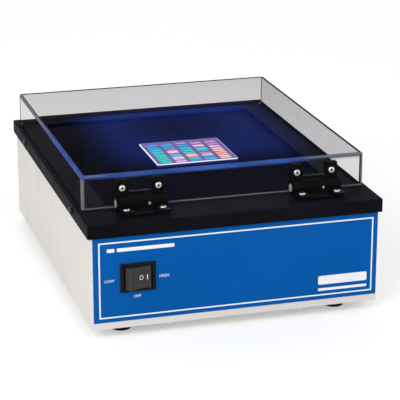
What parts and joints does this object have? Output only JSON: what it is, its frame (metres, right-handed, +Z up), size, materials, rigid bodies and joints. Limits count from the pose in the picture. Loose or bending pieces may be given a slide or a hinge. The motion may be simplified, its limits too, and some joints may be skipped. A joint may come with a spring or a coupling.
{
  "type": "ultraviolet transilluminator",
  "caption": "Bench UV transilluminator: steel lamp box with a filter window under a clear hinged cover, rocker switch and mains inlet, holding a stained gel.",
  "frame": {"origin": "bottom centre: on the plane under the rubber feet, midway across the lamp box's width and depth", "axes": "+X to the right seen from the switch, +Y from the switch face to the rear, +Z up"},
  "size_m": [0.2692, 0.3492, 0.1363],
  "materials": {
    "case_paint": "fine-textured off-white powder coat",
    "top_paint": "satin black powder coat",
    "filter": "dark violet filter glass, polished",
    "black_rubber": "matte",
    "clear_acrylic": "clear, polished",
    "clear_bumper": "clear, soft",
    "hinge_plastic": "fine spark-eroded texture",
    "hinge_steel": "ground",
    "bright_steel": "bright zinc plate",
    "black_screw": "black finish on steel",
    "label_film": "printed polyester film, satin",
    "switch_plastic": "semi-gloss black",
    "contact_brass": "plated",
    "lamp_glass": "clear tube",
    "lamp_cap": "spun",
    "holder_plastic": "satin",
    "rail_steel": "zinc coated sheet",
    "reflector": "bright rolled",
    "ballast_can": "satin can",
    "block_plastic": "satin",
    "cable_jacket": "satin",
    "inlet_plastic": "satin black",
    "fuse_glass": "clear",
    "fuse_cap": "nickel plated",
    "gel": "wet, translucent"
  },
  "bodies": {
    "lamp_box": {"ballast_cable_left": "cable_jacket", "ballast_cable_right": "cable_jacket", "ballast_left": "ballast_can", "ballast_right": "ballast_can", "filter_clip_nuts": "bright_steel", "filter_clips": "bright_steel", "filter_gasket": "black_rubber", "filter_glass": "filter", "floor_nuts": "bright_steel", "floor_screws": "bright_steel", "foot_nuts": "bright_steel", "foot_screws": "bright_steel", "front_label": "label_film", "front_lamp_holders": "holder_plastic", "front_lamp_rail": "rail_steel", "hinge_adjusters": "hinge_steel", "hinge_lower_leaf_left": "hinge_plastic", "hinge_lower_leaf_right": "hinge_plastic", "hinge_lower_nuts": "bright_steel", "hinge_lower_screws": "bright_steel", "inlet_cable": "cable_jacket", "inlet_nuts": "bright_steel", "inlet_pins": "contact_brass", "inlet_screws": "bright_steel", "lamp_cables": "cable_jacket", "lamp_caps": "lamp_cap", "lamp_case": "case_paint", "lamp_reflector": "reflector", "lamp_tube_1": "lamp_glass", "lamp_tube_2": "lamp_glass", "lamp_tube_3": "lamp_glass", "lamp_tube_4": "lamp_glass", "lamp_tube_5": "lamp_glass", "lamp_tube_6": "lamp_glass", "power_inlet": "inlet_plastic", "rear_lamp_holders": "holder_plastic", "rear_lamp_rail": "rail_steel", "rubber_feet": "black_rubber", "switch_blades": "contact_brass", "switch_cable": "cable_jacket", "switch_housing": "switch_plastic", "terminal_block": "block_plastic", "terminal_screws": "contact_brass", "top_cover": "top_paint", "top_side_nuts": "bright_steel", "top_side_screws": "black_screw"},
    "clear_cover": {"uv_cover": "clear_acrylic", "cover_bumpers": "clear_bumper", "hinge_upper_leaf_left": "hinge_plastic", "hinge_upper_leaf_right": "hinge_plastic", "hinge_upper_screws": "bright_steel", "hinge_upper_nuts": "bright_steel", "hinge_pins": "hinge_steel"},
    "rocker": {"switch_rocker": "switch_plastic"},
    "fuse_holder": {"fuse_drawer": "inlet_plastic", "fuse_glass": "fuse_glass", "fuse_caps": "fuse_cap"},
    "gel": {"gel_slab": "gel"}
  },
  "joints": [
    {"name": "cover_hinge", "type": "hinge", "parent": "lamp_box", "child": "clear_cover", "pos_m": [0, -0.1376, 0.1115], "axis": [1, 0, 0], "range_deg": [0, 90]},
    {"name": "rocker_tilt", "type": "hinge", "parent": "lamp_box", "child": "rocker", "pos_m": [-0.089, -0.1654, 0.055], "axis": [0, 0, -1], "range_deg": [0, 30]},
    {"name": "fuse_slide", "type": "slide", "parent": "lamp_box", "child": "fuse_holder", "axis": [0, 1, 0], "range_m": [0, 0.016]},
    {"name": "gel_lift", "type": "slide", "parent": "lamp_box", "child": "gel", "axis": [0, 0, 1], "range_m": [0, 0.02]}
  ]
}
